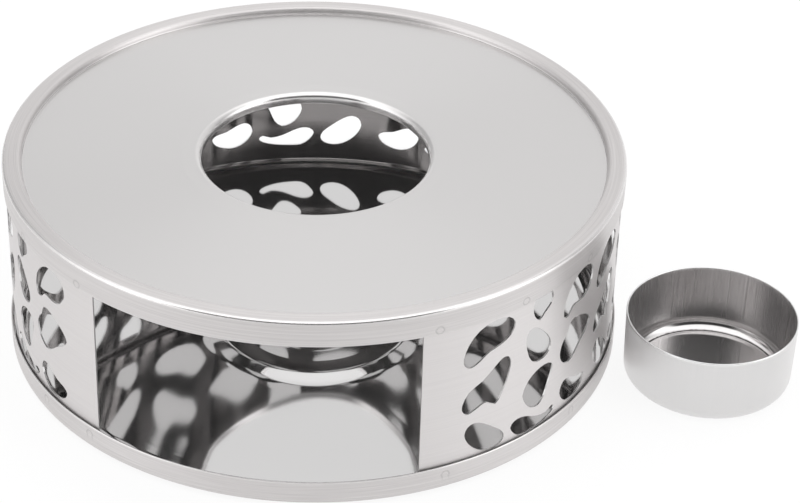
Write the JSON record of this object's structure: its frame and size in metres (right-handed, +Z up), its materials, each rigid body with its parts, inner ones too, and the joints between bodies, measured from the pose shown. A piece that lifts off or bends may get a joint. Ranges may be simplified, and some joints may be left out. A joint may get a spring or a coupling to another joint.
{
  "type": "teapot warmer",
  "caption": "Round steel teapot warmer: pierced drum with a side door and a flame hole in its top plate, and a loose open candle cup beside it.",
  "frame": {"origin": "centre of the drum's base, on the surface that it stands on", "axes": "+Z up through the flame hole, -Y out through the door, +X towards the candle cup"},
  "size_m": [0.1949, 0.1504, 0.0509],
  "materials": {
    "polished_steel": "mirror-polished floor, brushed band",
    "wall_steel": "fine brushed strip",
    "satin_steel": "satin plate, brushed skirt",
    "cup_steel": "satin with drawing marks inside"
  },
  "bodies": {
    "root": {"base_pan": "polished_steel", "side_wall": "wall_steel", "top_plate": "satin_steel", "candle_cup": "cup_steel"}
  },
  "joints": []
}
